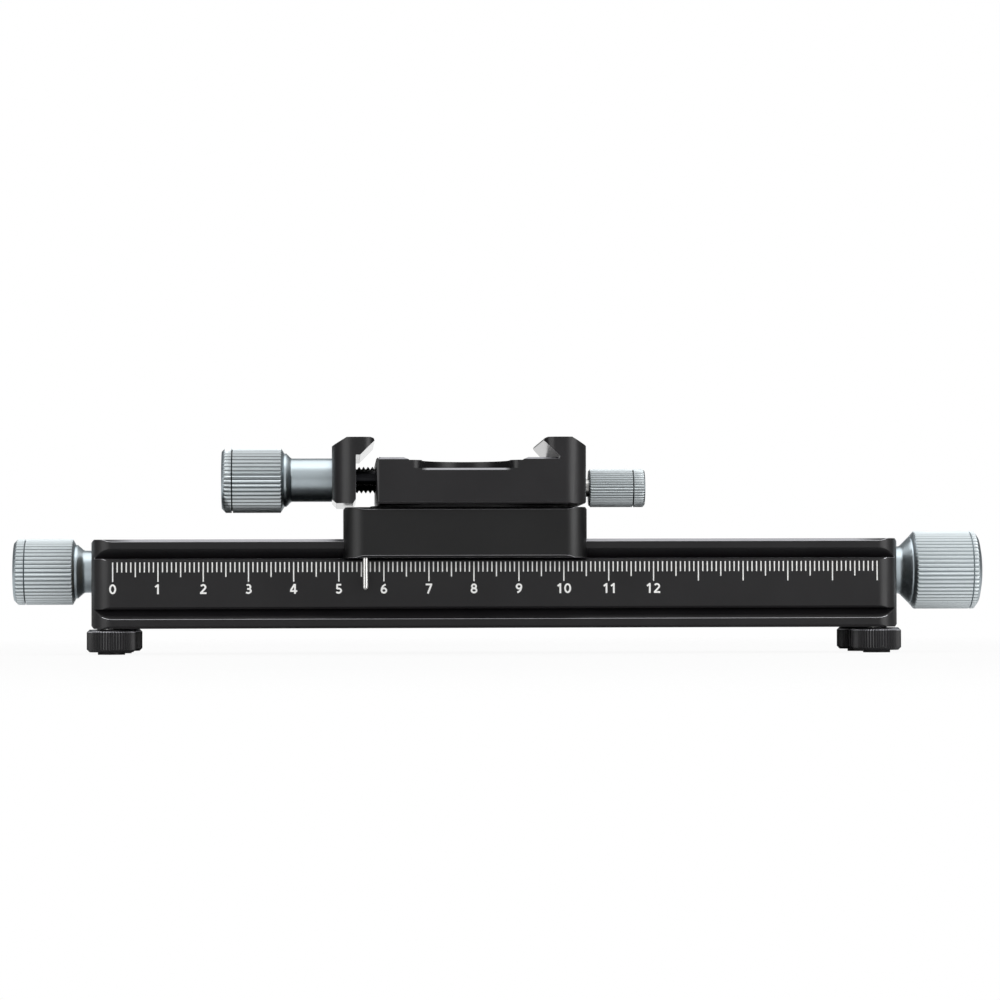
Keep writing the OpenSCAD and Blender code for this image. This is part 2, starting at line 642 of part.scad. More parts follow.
module moving_jaw() color(black) difference() {
    intersection() {
        across_y(clamp_depth + 2, [
            [jaw_x0, clamp_z + 1], [jaw_x0 + 1, clamp_z + 0.1], [jaw_x1 - 0.6, clamp_z + 0.1], [jaw_x1, clamp_z + 1],
            [jaw_x1, lip_tip_z - lip_h + 0.3], [jaw_x1 + lip_step, lip_tip_z - lip_h + 0.3],
            [jaw_x1 + lip_step + lip_h - 0.3, lip_tip_z], [jaw_x1 + lip_step + lip_h - 0.5, jaw_z - 0.25],
            [jaw_x1 + lip_step + lip_h - 1.2, jaw_z],
            [jaw_x0 + jaw_slope_x, jaw_z], [jaw_x0, jaw_z - jaw_slope_z]]);
        translate([0, 0, clamp_z - cut]) linear_extrude(jaw_h + 2 * cut)
            polygon(rounded_outline(jaw_x0, jaw_x1 + lip_step + lip_h, -clamp_side, clamp_side,
                jaw_t - 0.1, lip_plan_r));
    }
    rod_x(clamp_screw_d + 2 * running_gap, jaw_x0 - cut, jaw_x1 + cut, 0, axis_z);
    rod_x(ring_d + 0.6, jaw_x1 - ring_seat, jaw_x1 + cut, 0, axis_z);
    for (y = [-guide_offset, guide_offset])
        rod_x(guide_d + 2 * fixed_gap, jaw_x1 - guide_seat, jaw_x1 + cut, y, axis_z);
}

guide_seat = 3.5;
guide_pin_end = guide_hole_end - jaw_gap - 0.3;

module guide_pins() color(dark_steel)
    for (y = [-guide_offset, guide_offset])
        rod_x(guide_d, jaw_x1 - guide_seat, guide_pin_end, y, axis_z);

// Clamp screw and knob

ring_d = 9;
ring_t = 0.8;
ring_seat = 1.4;
ring_x = jaw_x1 - ring_seat + face_gap;
clamp_screw_end = tapped_end - jaw_gap - 0.3;
clamp_neck_r = 4.92;
clamp_knob_outer = knob_x - clamp_knob_len;

module clamp_screw() color(dark_steel) difference() {
    rod_x(clamp_screw_d, clamp_knob_outer + knob_end_wall, clamp_screw_end, 0, axis_z);
    difference() {
        rod_x(clamp_screw_d + cut, ring_x - 0.02, ring_x + ring_t + 0.02, 0, axis_z);
        rod_x(clamp_screw_d - 1, ring_x - cut, ring_x + ring_t + cut, 0, axis_z);
    }
}

module clamp_knob() color(pale)
    translate([clamp_knob_outer, 0, axis_z]) rotate([0, 90, 0]) difference() {
        union() {
            knurled_drum(clamp_knob_d, clamp_drum_len, knob_rib_pitch, knob_rib_depth,
                flat_end(clamp_knob_d / 2, 0.9), 1.25, 0.8, 2.2);
            knob_neck(clamp_drum_len, knob_collar_r, 0.5, clamp_neck_r, 45, 0.6, clamp_knob_len);
        }
        knob_cuts(clamp_knob_d, clamp_knob_len, clamp_screw_d);
    }

module clamp_knob_set_screw() color(dark_steel)
    knob_set_screw(clamp_knob_outer + set_screw_place, axis_z, clamp_screw_d / 2, clamp_knob_d / 2);

module jaw_retaining_ring() color(steel) difference() {
    rod_x(ring_d, ring_x, ring_x + ring_t, 0, axis_z);
    rod_x(clamp_screw_d - 1 + 2 * fixed_gap, ring_x - cut, ring_x + ring_t + cut, 0, axis_z);
    translate([ring_x - cut, -1.2, axis_z]) cube([ring_t + 2 * cut, 2.4, ring_d]);
}

// Pan lock

shoe_len = 5;
shoe_tip = stage_x + post_groove_r + nose_gap;
lock_knob_gap = 1.9;
lock_knob_x = body_x1 + lock_knob_gap;
lock_stud_d = 4;
stud_end_wall = 2;

module pan_lock_shoe() color(bronze)
    translate([shoe_tip, 0, pan_lock_z]) rotate([0, 90, 0]) union() {
        groove_nose();
        translate([0, 0, nose_end]) cylinder(d = lock_bore_d, h = shoe_len - nose_end);
    }

module pan_lock_stud() color(steel)
    rod_x(lock_stud_d, shoe_tip + shoe_len + 0.01, lock_knob_x + lock_knob_len - stud_end_wall, 0, pan_lock_z);

module pan_lock_knob() color(pale)
    translate([lock_knob_x + lock_knob_len, 0, pan_lock_z]) rotate([0, -90, 0]) difference() {
        knurled_drum(lock_knob_d, lock_knob_len, fine_rib_pitch, fine_rib_depth,
            flat_end(lock_knob_d / 2, 0.4), 0.4, 0.4, 2.5);
        translate([0, 0, stud_end_wall - fixed_gap]) cylinder(d = lock_stud_d + 2 * fixed_gap, h = lock_knob_len);
    }

// Feet

foot_top = -0.15;
foot_bottom = foot_top - foot_t;
foot_disc_edge = 0.65;
pad_stem_d = 3;
pad_stem_len = 2.4;

module foot_disc(x, y) color(black) translate([x, y, foot_bottom]) difference() {
    knurled_drum_plain(foot_d, foot_t, fine_rib_pitch, fine_rib_depth, foot_disc_edge);
    translate([0, 0, -cut]) cylinder(d = pad_stem_d + 2 * running_gap, h = pad_stem_len + 0.1 + cut);
    translate([0, 0, pad_stem_len + 0.5]) cylinder(d = foot_stud_d + 2 * fixed_gap, h = foot_t);
}

// A short knurled disc with both edges chamfered
module knurled_drum_plain(d, len, pitch, depth, edge)
    intersection() {
        linear_extrude(len) polygon(knurl_outline(d, depth, pitch));
        rotate_extrude() polygon([[0, 0], [d / 2 - edge, 0], [d / 2 + edge, 2 * edge],
            [d / 2 + edge, len - 2 * edge], [d / 2 - edge, len], [0, len]]);
    }

module foot_stud(x, y) color(steel)
    translate([x, y, foot_bottom + pad_stem_len + 0.5 + fixed_gap])
        cylinder(d = foot_stud_d, h = foot_stud_len - foot_bottom - pad_stem_len - 0.5);

module foot_pad(x, y) color(dark_steel) translate([x, y, foot_bottom]) union() {
    cylinder(d = pad_stem_d, h = pad_stem_len);
    translate([0, 0, -face_gap - pad_t]) cylinder(d = pad_d, h = pad_t);
    translate([0, 0, -face_gap - pad_t / 2]) cylinder(d = pad_stem_d, h = pad_t);
}

rail_body();
bush(-1);  // left_bush
bush(1);  // right_bush
thrust_washer(-1);  // left_thrust_washer
thrust_washer(1);  // right_thrust_washer
lead_screw();
left_knob();
right_knob();
rail_knob_set_screws();
stage_body();
drive_nut();
nut_screws();
gib_strip();
gib_set_screws();
index_pin();
pan_spindle();
spindle_screws();
pan_washer();
clamp_body();
pan_retaining_screw();
moving_jaw();
guide_pins();
clamp_screw();
clamp_knob();
clamp_knob_set_screw();
jaw_retaining_ring();
pan_lock_shoe();
pan_lock_stud();
pan_lock_knob();
foot_disc(-foot_x, -foot_y);  // front_left_foot_disc
foot_stud(-foot_x, -foot_y);  // front_left_foot_stud
foot_pad(-foot_x, -foot_y);  // front_left_foot_pad
foot_disc(foot_x, -foot_y);  // front_right_foot_disc
foot_stud(foot_x, -foot_y);  // front_right_foot_stud
foot_pad(foot_x, -foot_y);  // front_right_foot_pad
foot_disc(-foot_x, foot_y);  // rear_left_foot_disc
foot_stud(-foot_x, foot_y);  // rear_left_foot_stud
foot_pad(-foot_x, foot_y);  // rear_left_foot_pad
foot_disc(foot_x, foot_y);  // rear_right_foot_disc
foot_stud(foot_x, foot_y);  // rear_right_foot_stud
foot_pad(foot_x, foot_y);  // rear_right_foot_pad
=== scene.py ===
"""A macro focusing rail: a screw-driven stage with a rotating screw clamp on a scaled dovetail bar."""

import math

import bmesh
import bpy
from mathutils import Matrix, Vector


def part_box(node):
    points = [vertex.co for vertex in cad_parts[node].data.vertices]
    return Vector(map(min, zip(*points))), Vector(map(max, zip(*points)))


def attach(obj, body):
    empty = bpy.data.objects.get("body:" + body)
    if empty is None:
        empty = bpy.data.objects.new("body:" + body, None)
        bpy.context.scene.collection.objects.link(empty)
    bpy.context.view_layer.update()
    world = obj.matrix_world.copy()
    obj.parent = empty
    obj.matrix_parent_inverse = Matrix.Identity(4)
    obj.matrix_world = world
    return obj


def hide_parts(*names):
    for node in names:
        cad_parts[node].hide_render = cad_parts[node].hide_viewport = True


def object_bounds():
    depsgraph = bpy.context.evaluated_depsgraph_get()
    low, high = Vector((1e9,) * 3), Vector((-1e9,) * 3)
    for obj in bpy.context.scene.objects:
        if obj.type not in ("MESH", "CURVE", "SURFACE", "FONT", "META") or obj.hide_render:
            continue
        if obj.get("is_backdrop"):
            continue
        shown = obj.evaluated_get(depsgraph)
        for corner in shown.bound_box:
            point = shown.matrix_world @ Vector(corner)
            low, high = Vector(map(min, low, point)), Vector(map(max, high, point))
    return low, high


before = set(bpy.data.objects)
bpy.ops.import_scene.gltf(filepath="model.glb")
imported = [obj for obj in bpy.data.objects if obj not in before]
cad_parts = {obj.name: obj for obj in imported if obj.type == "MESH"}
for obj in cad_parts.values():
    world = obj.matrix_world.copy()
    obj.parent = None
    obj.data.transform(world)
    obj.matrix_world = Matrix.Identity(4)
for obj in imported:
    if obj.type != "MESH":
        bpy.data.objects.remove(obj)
cad_low, cad_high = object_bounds()

# The studio is a white table top in a white surround, as for a catalogue picture.
# Two tall softboxes stand in front, left and right, and a wide one hangs above.
# The camera stands far off at the height of the bar, so that the view is almost flat.
MM = 0.001
scene = bpy.context.scene
scene.view_settings.view_transform = "Standard"

camera_place = Vector((-34.21, -867.5, 4.96)) * MM
camera_yaw = math.radians(2.365)
camera_pitch = math.radians(1.582)
camera_roll = math.radians(-0.156)
level_right = Vector((math.cos(camera_yaw), -math.sin(camera_yaw), 0))
forward = Vector((
    math.sin(camera_yaw) * math.cos(camera_pitch),
    math.cos(camera_yaw) * math.cos(camera_pitch),
    math.sin(camera_pitch),
))
level_up = level_right.cross(forward)
right = level_right * math.cos(camera_roll) + level_up * math.sin(camera_roll)
up = level_up * math.cos(camera_roll) - level_right * math.sin(camera_roll)
film_width_mm = 36
focal_length_mm = 137.56
camera_data = bpy.data.cameras.new("camera")
camera_data.sensor_width = film_width_mm
camera_data.lens = focal_length_mm
camera_data.clip_start = 0.05
camera_data.clip_end = 20
camera = bpy.data.objects.new("camera", camera_data)
camera.matrix_world = Matrix.Translation(camera_place) @ Matrix((right, up, -forward)).transposed().to_4x4()
scene.collection.objects.link(camera)
scene.camera = camera


def linear(hex_colour):
    """An sRGB hex colour as the linear red, green, blue and alpha that a shader takes."""
    shares = [int(hex_colour[i:i + 2], 16) / 255 for i in (1, 3, 5)]
    return [s / 12.92 if s <= 0.04045 else ((s + 0.055) / 1.055) ** 2.4 for s in shares] + [1.0]


def add_node(tree, kind, inputs=None, **settings):
    """Adds one node. Inputs are given by name or number, as plain values or as sockets to link."""
    made = tree.nodes.new(kind)
    for name, value in settings.items():
        setattr(made, name, value)
    for socket, value in (inputs or {}).items():
        if isinstance(value, bpy.types.NodeSocket):
            tree.links.new(value, made.inputs[socket])
        else:
            made.inputs[socket].default_value = value
    return made


def new_material(name):
    """An empty material, its node tree and its texture coordinates."""
    material = bpy.data.materials.new(name)
    material.use_nodes = True
    tree = material.node_tree
    tree.nodes.clear()
    return material, tree, add_node(tree, "ShaderNodeTexCoord").outputs


def surface(tree, inputs):
    """Adds a Principled shader as the look of the whole material."""
    shader = add_node(tree, "ShaderNodeBsdfPrincipled", inputs)
    add_node(tree, "ShaderNodeOutputMaterial", {"Surface": shader.outputs[0]})


def reckon(tree, operation, *values, use_clamp=False):
    """The result of a Math node on numbers or sockets."""
    made = add_node(
        tree, "ShaderNodeMath", dict(enumerate(values)), operation=operation, use_clamp=use_clamp)
    return made.outputs[0]


def reckon_vector(tree, operation, *values):
    """The result of a Vector Math node: a number for LENGTH, and a vector for the others used here."""
    made = add_node(tree, "ShaderNodeVectorMath", dict(enumerate(values)), operation=operation)
    return made.outputs["Value" if operation == "LENGTH" else "Vector"]


def split(tree, vector):
    """The X, Y and Z parts of a vector."""
    return add_node(tree, "ShaderNodeSeparateXYZ", {0: vector}).outputs


def stretch(tree, value, start, stop, low, high, smooth=False):
    """Goes from low to high as the value goes from start to stop, and stays there beyond."""
    made = add_node(tree, "ShaderNodeMapRange", {
        "Value": value, "From Min": start, "From Max": stop, "To Min": low, "To Max": high,
    }, interpolation_type="SMOOTHSTEP" if smooth else "LINEAR")
    return made.outputs["Result"]


def mix(tree, share, first, second, kind="RGBA"):
    """Goes from the first to the second as the share goes from 0 to 1.

    The two are colours, or plain numbers if the kind is FLOAT.
    """
    first_input, output = {"FLOAT": (2, 0), "RGBA": (6, 2)}[kind]
    made = add_node(tree, "ShaderNodeMix", {
        0: share, first_input: first, first_input + 1: second}, data_type=kind)
    return made.outputs[output]


# Nearly all levels of a noise pattern lie between these two
noise_range = (0.3, 0.7)


def noise(tree, place, size_mm, detail, roughness=0.5):
    """The level of a cloudy pattern whose patches are about size_mm across."""
    made = add_node(tree, "ShaderNodeTexNoise", {
        "Vector": place["Object"], "Scale": 1 / (size_mm * MM), "Detail": detail, "Roughness": roughness})
    return made.outputs["Fac"]


def bump(tree, height, strength, depth_mm, inputs=None):
    """Relief of the surface by the level of a pattern."""
    made = add_node(tree, "ShaderNodeBump", {
        "Height": height, "Strength": strength, "Distance": depth_mm * MM, **(inputs or {})})
    return made.outputs[0]


def softbox(name, place, aim, width, height, brightness):
    """A lit white panel that faces a point. Brightness is the level at which the panel itself shows."""
    lamp = bpy.data.lights.new(name, "AREA")
    lamp.shape = "RECTANGLE"
    lamp.size = width
    lamp.size_y = height
    lamp.energy = brightness * math.pi * width * height
    panel = bpy.data.objects.new(name, lamp)
    panel.location = place
    panel.rotation_euler = (Vector(aim) - Vector(place)).to_track_quat("-Z", "Y").to_euler()
    panel.visible_camera = False
    scene.collection.objects.link(panel)


middle = (0, 0, 15 * MM)
# Name, place, width and height in metres, and brightness
for name, place, width, height, brightness in (
        ("left_softbox", (-0.62, -0.56, 0.14), 0.55, 0.60, 2.4),
        ("right_softbox", (0.624, -0.562, 0.14), 0.52, 0.60, 3.9),
        ("top_softbox", (0.0, 0.06, 0.70), 1.40, 0.82, 1.5)):
    softbox(name, place, middle, width, height, brightness)

# Near the part the paper is lit by the lamps and takes its shadow, and the white surround shows through it.
# Further out it is quite clear to the eye, so that it runs into the surround without a line. So the
# underside shows from below, and so does a foot that is screwed down past the table top. What shines sees
# the far paper as plain white in front, and in a strip straight behind that widens with the distance.
paper_radius = 3.0
paper_gap = 0.02 * MM
lit_reach = 0.14
clear_reach = 0.45
clear_near = 0.93
mirrored_white = 0.8
strip_half_width = 0.05
strip_spread = 0.2
table_material, tree, place = new_material("white table top")
paper = add_node(tree, "ShaderNodeBsdfPrincipled", {"Base Color": linear("#D2D2D2"), "Roughness": 0.7})
glow = add_node(tree, "ShaderNodeEmission", {"Color": (1, 1, 1, 1), "Strength": 1.0})
ray = add_node(tree, "ShaderNodeLightPath").outputs
reach = reckon_vector(tree, "LENGTH", place["Object"])
far = stretch(tree, reach, lit_reach, clear_reach, 0.0, 1.0, smooth=True)
clearness = stretch(tree, far, 0.0, 1.0, clear_near, 1.0)
parts = split(tree, place["Object"])
ahead = reckon(tree, "LESS_THAN", parts["Y"], 0.0)
strip = reckon(tree, "MULTIPLY_ADD", parts["Y"], strip_spread, strip_half_width)
behind = reckon(tree, "LESS_THAN", reckon(tree, "ABSOLUTE", parts["X"]), strip)
far_white = reckon(tree, "MULTIPLY", reckon(tree, "MAXIMUM", ahead, behind), far)
dimmed = reckon(tree, "MULTIPLY", far_white, mirrored_white)
shiny = reckon(tree, "MAXIMUM", ray["Is Glossy Ray"], ray["Is Transmission Ray"])
mirrored = reckon(tree, "MULTIPLY", shiny, dimmed)
lit_paper = add_node(tree, "ShaderNodeMixShader", {0: mirrored, 1: paper.outputs[0], 2: glow.outputs[0]})
clear = add_node(tree, "ShaderNodeBsdfTransparent")
seen_through = reckon(tree, "MULTIPLY", ray["Is Camera Ray"], clearness)
table_look = add_node(tree, "ShaderNodeMixShader", {
    0: seen_through, 1: lit_paper.outputs[0], 2: clear.outputs[0]})
add_node(tree, "ShaderNodeOutputMaterial", {"Surface": table_look.outputs[0]})

table_mesh = bpy.data.meshes.new("table_top")
build = bmesh.new()
bmesh.ops.create_circle(build, cap_ends=True, segments=96, radius=paper_radius)
build.to_mesh(table_mesh)
build.free()
table_mesh.materials.append(table_material)
table_top = bpy.data.objects.new("table_top", table_mesh)
table_top.location.z = cad_low.z - paper_gap
scene.collection.objects.link(table_top)
table_top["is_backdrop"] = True

# The surround is white to the eye. What shines sees a white spot straight behind, dark walls beside it and
# a wall in front that is lighter higher up. On matt faces the surround gives a low, even light.
# A direction's Y is 1 straight behind and its Z is 1 straight up.
spot_edge = (0.95, 0.995)
front_edge = (0.15, -0.35)
front_heights = (-0.1, 0.6)
front_levels = (0.30, 0.66)
dark_level = 0.12
ambient_light = 0.26
world = bpy.data.worlds.new("white surround")
world.use_nodes = True
scene.world = world
tree = world.node_tree
tree.nodes.clear()
ray = add_node(tree, "ShaderNodeLightPath").outputs
direction = split(tree, add_node(tree, "ShaderNodeTexCoord").outputs["Generated"])
behind = stretch(tree, direction["Y"], *spot_edge, dark_level, 1.0, smooth=True)
wall = stretch(tree, direction["Z"], *front_heights, *front_levels, smooth=True)
in_front = stretch(tree, direction["Y"], *front_edge, 0.0, 1.0, smooth=True)
mirrored = mix(tree, in_front, behind, wall, "FLOAT")
shiny = reckon(tree, "MAXIMUM", ray["Is Glossy Ray"], ray["Is Transmission Ray"])
ambient = mix(tree, shiny, ambient_light, mirrored, "FLOAT")
strength = mix(tree, ray["Is Camera Ray"], ambient, 1.0, "FLOAT")
surround = add_node(tree, "ShaderNodeBackground", {"Color": (1, 1, 1, 1), "Strength": strength})
add_node(tree, "ShaderNodeOutputWorld", {"Surface": surround.outputs[0]})

# The rail bar is extruded aluminium, milled square, bead-blasted and black anodised.
# The dye hides the metal, so what shines is the clear oxide film over an even, very fine grain.
# Its long edges are chamfered and its four upright corners are rounded.
crease_angle = math.radians(34)


def smooth_by_angle():
    """A modifier group that shades a mesh smooth and keeps its edges crisp where it turns sharply."""
    group = bpy.data.node_groups.new("smooth_by_angle", "GeometryNodeTree")
    group.interface.new_socket("Geometry", in_out="INPUT", socket_type="NodeSocketGeometry")
    group.interface.new_socket("Geometry", in_out="OUTPUT", socket_type="NodeSocketGeometry")
    entry = add_node(group, "NodeGroupInput")
    bare = add_node(group, "GeometryNodeRemoveAttribute", {
        "Geometry": entry.outputs[0], "Name": "custom_normal"})
    angle = add_node(group, "GeometryNodeInputMeshEdgeAngle")
    sharp = add_node(group, "FunctionNodeCompare", {
        0: angle.outputs["Unsigned Angle"], 1: crease_angle}, operation="GREATER_THAN")
    rounded = add_node(group, "GeometryNodeSetShadeSmooth", {
        "Geometry": bare.outputs[0], "Shade Smooth": True}, domain="FACE")
    creased = add_node(group, "GeometryNodeSetShadeSmooth", {
        "Geometry": rounded.outputs[0], "Selection": sharp.outputs[0],
        "Shade Smooth": False}, domain="EDGE")
    add_node(group, "NodeGroupOutput", {0: creased.outputs[0]})
    return group


crisp_shading = smooth_by_angle()
same_point = 0.0005 * MM
same_plane = math.radians(0.4)
sharp_edge = math.radians(28)


def ease_edges(piece, width_mm, segments=2):
    """Breaks the sharp edges of a machined piece by a small round, and shades it clean."""
    weld = piece.modifiers.new("weld", "WELD")
    weld.merge_threshold = same_point
    flat = piece.modifiers.new("flat_faces", "DECIMATE")
    flat.decimate_type = "DISSOLVE"
    flat.angle_limit = same_plane
    if width_mm > 0:
        bevel = piece.modifiers.new("broken_edges", "BEVEL")
        bevel.width = width_mm * MM
        bevel.segments = segments
        bevel.limit_method = "ANGLE"
        bevel.angle_limit = sharp_edge
        bevel.miter_outer = "MITER_ARC"
    shading = piece.modifiers.new("shading", "NODES")
    shading.node_group = crisp_shading
    even = piece.modifiers.new("even_normals", "WEIGHTED_NORMAL")
    even.keep_sharp = True


def finish_node(name, material, edge_mm=0.0, segments=2, edge_material=None):
    """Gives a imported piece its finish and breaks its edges, in a finish of their own where one is named."""
    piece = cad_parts[name]
    for place in piece.material_slots:
        place.material = material
    ease_edges(piece, edge_mm, segments)
    if edge_material:
        piece.data.materials.append(edge_material)
        piece.modifiers["broken_edges"].material = 1
    return piece


def inside(tree, place, low, high, soft_ends):
    """1 on the surface between two corners, and in their mirror image across the bar, 0 elsewhere.

    Along the bar it fades in over the length soft_ends.
    """
    parts = split(tree, place["Object"])
    folded = add_node(tree, "ShaderNodeCombineXYZ", {
        "X": parts["X"], "Y": reckon(tree, "ABSOLUTE", parts["Y"]), "Z": parts["Z"]})
    away = reckon_vector(tree, "SUBTRACT", folded.outputs[0], (low + high) / 2)
    beyond = reckon_vector(tree, "SUBTRACT", reckon_vector(tree, "ABSOLUTE", away), (high - low) / 2)
    each = split(tree, beyond)
    in_section = reckon(tree, "LESS_THAN", reckon(tree, "MAXIMUM", each["Y"], each["Z"]), 0.0)
    in_length = stretch(tree, each["X"], -soft_ends, 0.0, 1.0, 0.0)
    return reckon(tree, "MULTIPLY", in_section, in_length)


film_index = 1.45
blasted_relief = 0.5
smooth_roughness = 0.08
facing_down = -0.5


def black_anodised(name, dark, light, milled=None, smooth_above=None):
    """Black anodised aluminium, bead-blasted: a satin film, with the grain drawn at twice its real size.

    The dyed pores scatter part of the shine, so its index is set below the 1.62 of the clear oxide.
    milled holds the low corner, the high corner and the soft ends of a chamfer that was cut after
    blasting, and whose thin film shows the metal. Above the height smooth_above, faces that look down
    were milled after blasting and are smooth.
    """
    material, tree, place = new_material("black anodised aluminium, bead-blasted, " + name)
    grain = noise(tree, place, size_mm=0.22, detail=2, roughness=0.6)
    bath = noise(tree, place, size_mm=14, detail=3)
    colour = mix(tree, bath, linear(dark), linear(light))
    sheen = stretch(tree, bath, *noise_range, 0.32, 0.38)
    relief = blasted_relief
    metal = 0.0
    if smooth_above is not None:
        down = reckon(tree, "LESS_THAN", split(tree, place["Normal"])["Z"], facing_down)
        high_up = reckon(tree, "GREATER_THAN", split(tree, place["Object"])["Z"], smooth_above)
        smooth = reckon(tree, "MULTIPLY", down, high_up)
        sheen = mix(tree, smooth, sheen, smooth_roughness, "FLOAT")
        relief = reckon(tree, "SUBTRACT", blasted_relief, smooth, use_clamp=True)
    if milled:
        metal = inside(tree, place, *milled)
        colour = mix(tree, metal, colour, linear("#8F8F93"))
    surface(tree, {
        "Base Color": colour, "Metallic": metal, "Roughness": sheen, "IOR": film_index,
        "Normal": bump(tree, grain, strength=relief, depth_mm=0.012)})
    return material


def worn_edge(name, film_colour, dark, light, heights):
    """The broken edges of a black anodised piece.

    Between the given heights, in metres, handling has worn the film thin, and the metal shows.
    """
    material, tree, place = new_material("black anodised aluminium, broken edge, " + name)
    z = split(tree, place["Object"])["Z"]
    bare = 0.0
    for low, high in heights:
        band = reckon(tree, "COMPARE", z, (low + high) / 2, (high - low) / 2)
        bare = reckon(tree, "MAXIMUM", band, bare)
    wear = noise(tree, place, size_mm=1.5, detail=3)
    metal_colour = mix(tree, wear, linear(dark), linear(light))
    surface(tree, {
        "Base Color": mix(tree, bare, linear(film_colour), metal_colour), "Metallic": bare,
        "Roughness": 0.36, "IOR": film_index})
    return material


rail_low, rail_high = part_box("rail_body")
top_chamfer = 0.5 * MM
corner_radius = 3.5 * MM
chamfer_fade = 6 * MM
chamfer_low = Vector((rail_low.x + corner_radius, rail_high.y - top_chamfer, rail_high.z - top_chamfer))
chamfer_high = rail_high - Vector((corner_radius, 0, 0))
rail_finish = black_anodised("rail", "#121113", "#1A191B", (chamfer_low, chamfer_high, chamfer_fade))
# The heights of the lower flange's upper edge, the scale face's top edge and the bar's top edges
flange_wear = [(1.6 * MM, 2.6 * MM), (15.2 * MM, 15.8 * MM), (19.2 * MM, 20.5 * MM)]
finish_node("rail_body", rail_finish, edge_mm=0.28, edge_material=worn_edge(
    "rail", "#121113", "#B0B0B4", "#CECED2", flange_wear))

# The centimetre scale is laser-marked on the front face and filled with white ink.
# A line stands at every millimetre from 0 to 170, longer at 5 and 10, with the numbers 0 to 12 below.
# The lines lie a hair above the face, as the ink does.


def white_ink():
    """Matt white marking ink, a little uneven in the way ink lies in an etched line."""
    material, tree, place = new_material("white marking ink")
    speck = noise(tree, place, size_mm=0.3, detail=2)
    surface(tree, {"Base Color": mix(tree, speck, linear("#EEEEEC"), linear("#FCFCFA")), "Roughness": 0.55})
    return material


scale_start = -85 * MM
scale_lines = 171
line_width = 0.26 * MM
line_top = 14.72 * MM
line_feet = {1: 12.5 * MM, 5: 11.45 * MM, 10: 10.4 * MM}
ink_height = 0.02 * MM
face_y = rail_low.y
number_height = 2.2 * MM
number_foot = 7.68 * MM
last_number = 12
# Width of a digit's stroke and the step from digit to digit, as shares of the height
stroke_width = 0.18
digit_step = 0.74
arc_step_degrees = 15
fewest_steps = 6
closing_gap = 0.001 * MM


def bow(x, z, rx, rz, start, stop):
    """Points on part of an ellipse, by angles in degrees, as the middle line of a stroke."""
    steps = max(fewest_steps, round(abs(stop - start) / arc_step_degrees))
    turns = [math.radians(start + (stop - start) * i / steps) for i in range(steps + 1)]
    return [(x + rx * math.cos(a), z + rz * math.sin(a)) for a in turns]


# The middle lines of each digit's strokes, for a height of 1
six = [bow(0.01, 0.31, 0.24, 0.22, 0, 360), bow(0.24, 0.31, 0.47, 0.60, 180, 96)]
digits = {
    "0": [bow(0, 0.5, 0.26, 0.41, 0, 360)],
    "1": [[(-0.28, 0.71), (0.0, 0.92)], [(0, 0), (0, 1)]],
    "2": [bow(-0.01, 0.69, 0.23, 0.22, 155, -30) + [(-0.26, 0.10)], [(-0.33, 0.09), (0.32, 0.09)]],
    "3": [bow(-0.04, 0.705, 0.22, 0.205, 135, -85), bow(-0.04, 0.30, 0.26, 0.21, 85, -145),
          [(-0.14, 0.51), (0.0, 0.51)]],
    "4": [[(0.09, 0.96), (-0.31, 0.32)], [(-0.36, 0.28), (0.36, 0.28)], [(0.13, 0), (0.13, 1)]],
    "5": [[(-0.22, 0.91), (0.25, 0.91)], [(-0.16, 0.91), (-0.18, 0.47)],
          bow(-0.03, 0.31, 0.26, 0.22, 125, -145)],
    "6": six,
    "7": [[(-0.33, 0.91), (0.32, 0.91)], [(0.24, 0.91), (-0.12, 0)]],
    "8": [bow(0, 0.715, 0.205, 0.195, 0, 360), bow(0, 0.30, 0.255, 0.21, 0, 360)],
    "9": [[(-x, 1 - z) for x, z in stroke] for stroke in six],
}


def add_block(build, low, high):
    """Adds a closed block between two corners."""
    corners = [
        build.verts.new((x, y, z))
        for x in (low[0], high[0]) for y in (low[1], high[1]) for z in (low[2], high[2])
    ]
    for face in ((0, 1, 3, 2), (4, 6, 7, 5), (0, 4, 5, 1), (2, 3, 7, 6), (0, 2, 6, 4), (1, 5, 7, 3)):
        build.faces.new([corners[i] for i in face])


def add_stroke(build, points, front_y):
    """Adds one stroke of ink along a middle line of (x, z) points, from the face to front_y."""
    closed = math.dist(points[0], points[-1]) < closing_gap
    if closed:
        points = points[:-1]
    count = len(points)
    half = stroke_width * number_height / 2
    sections = []
    for i, (x, z) in enumerate(points):
        before = points[i - 1] if closed or i > 0 else points[i]
        after = points[(i + 1) % count] if closed or i < count - 1 else points[i]
        along = Vector((after[0] - before[0], after[1] - before[1])).normalized()
        dx, dz = -along.y * half, along.x * half
        sections.append([build.verts.new(place) for place in (
            (x + dx, front_y, z + dz), (x - dx, front_y, z - dz),
            (x - dx, face_y, z - dz), (x + dx, face_y, z + dz))])
    for i in range(count if closed else count - 1):
        here, there = sections[i], sections[(i + 1) % count]
        for k in range(4):
            build.faces.new((here[k], here[(k + 1) % 4], there[(k + 1) % 4], there[k]))
    if not closed:
        build.faces.new(sections[0])
        build.faces.new(sections[-1])


